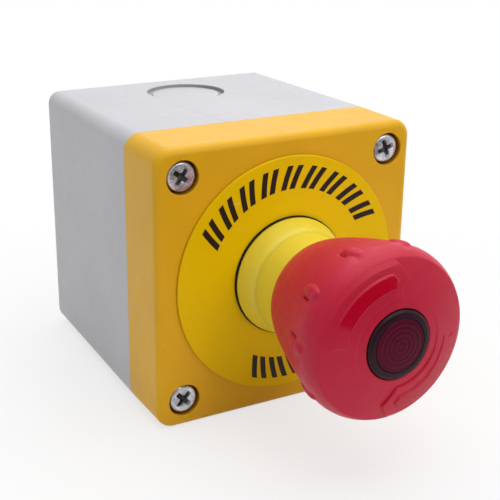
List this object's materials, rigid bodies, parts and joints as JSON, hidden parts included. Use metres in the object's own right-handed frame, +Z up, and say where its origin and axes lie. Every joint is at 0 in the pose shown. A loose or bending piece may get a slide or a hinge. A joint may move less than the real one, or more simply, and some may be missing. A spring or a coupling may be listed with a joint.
{
  "type": "illuminated emergency stop station",
  "caption": "Square wall box with grey base and yellow cover, carrying a red illuminated mushroom button that is pushed to stop and turned to release.",
  "frame": {"origin": "middle of the back face, where the box meets the wall", "axes": "+Y into the wall, so the button points along -Y; +Z up; +X to the right seen from the front"},
  "size_m": [0.07, 0.1208, 0.07],
  "materials": {
    "base_grey": "fine moulded texture",
    "cover_yellow": "satin moulded",
    "legend_yellow": "satin printed plate",
    "collar_yellow": "satin moulded",
    "black_rubber": "matte",
    "screw_zinc": "bright zinc",
    "nut_steel": "zinc",
    "spring_steel": "drawn wire",
    "pin_steel": "polished",
    "contact_brass": "stamped",
    "block_dark": "moulded",
    "holder_black": "moulded",
    "pusher_white": "moulded",
    "plunger_red": "moulded",
    "head_red": "satin moulded",
    "bezel_dark": "satin",
    "lens_maroon": "translucent",
    "guide_clear": "clear acrylic",
    "lamp_white": "diode and base"
  },
  "bodies": {
    "enclosure": {"base_box": "base_grey", "cover": "cover_yellow", "cover_gasket": "black_rubber", "cover_screws": "screw_zinc", "legend_plate": "legend_yellow", "panel_gasket": "black_rubber", "actuator_collar": "collar_yellow", "wiper_seal": "black_rubber", "mounting_nut": "nut_steel", "contact_holder": "holder_black", "holder_screws": "screw_zinc", "latch_ring": "spring_steel", "return_spring": "spring_steel", "lamp_block": "block_dark", "lamp_strips": "contact_brass", "lamp_screws": "screw_zinc", "led_lamp": "lamp_white", "contact_block_left": "block_dark", "block_back_left": "block_dark", "contact_spring_left": "spring_steel", "contact_strips_left": "contact_brass", "terminal_screws_left": "screw_zinc", "contact_block_right": "block_dark", "block_back_right": "block_dark", "contact_spring_right": "spring_steel", "contact_strips_right": "contact_brass", "terminal_screws_right": "screw_zinc"},
    "push_carriage": {"pusher": "pusher_white"},
    "button": {"mushroom_head": "head_red", "head_stem": "pusher_white", "lens_bezel": "bezel_dark", "lens": "lens_maroon", "light_guide": "guide_clear"},
    "plunger_set_left": {"contact_plunger_left": "plunger_red", "contact_bridge_left": "contact_brass"},
    "plunger_set_right": {"contact_plunger_right": "plunger_red", "contact_bridge_right": "contact_brass"},
    "latch_upper": {"latch_pin_upper": "pin_steel"},
    "latch_lower": {"latch_pin_lower": "pin_steel"}
  },
  "joints": [
    {"name": "push", "type": "slide", "parent": "enclosure", "child": "push_carriage", "axis": [0, 1, 0], "range_m": [0, 0.0045], "deforming": ["return_spring"]},
    {"name": "twist", "type": "hinge", "parent": "push_carriage", "child": "button", "pos_m": [0, -0.1, 0], "axis": [0, 1, 0], "range_deg": [0, 40], "stiffness_Nm_per_rad": 0.05},
    {"name": "plunger_left", "type": "slide", "parent": "enclosure", "child": "plunger_set_left", "axis": [0, 1, 0], "range_m": [0, 0.0045], "deforming": ["contact_spring_left"]},
    {"name": "plunger_right", "type": "slide", "parent": "enclosure", "child": "plunger_set_right", "axis": [0, 1, 0], "range_m": [0, 0.0045], "deforming": ["contact_spring_right"]},
    {"name": "latch_upper_slide", "type": "slide", "parent": "enclosure", "child": "latch_upper", "axis": [0, 0, 1], "range_m": [0, 0.0006], "deforming": ["latch_ring"]},
    {"name": "latch_lower_slide", "type": "slide", "parent": "enclosure", "child": "latch_lower", "axis": [0, 0, -1], "range_m": [0, 0.0006]}
  ],
  "couplings": [
    {"joint": "plunger_left", "follows": "push", "ratio": 1},
    {"joint": "plunger_right", "follows": "push", "ratio": 1},
    {"joint": "latch_upper_slide", "follows": "push", "ratio": 0.13},
    {"joint": "latch_lower_slide", "follows": "push", "ratio": 0.13}
  ]
}
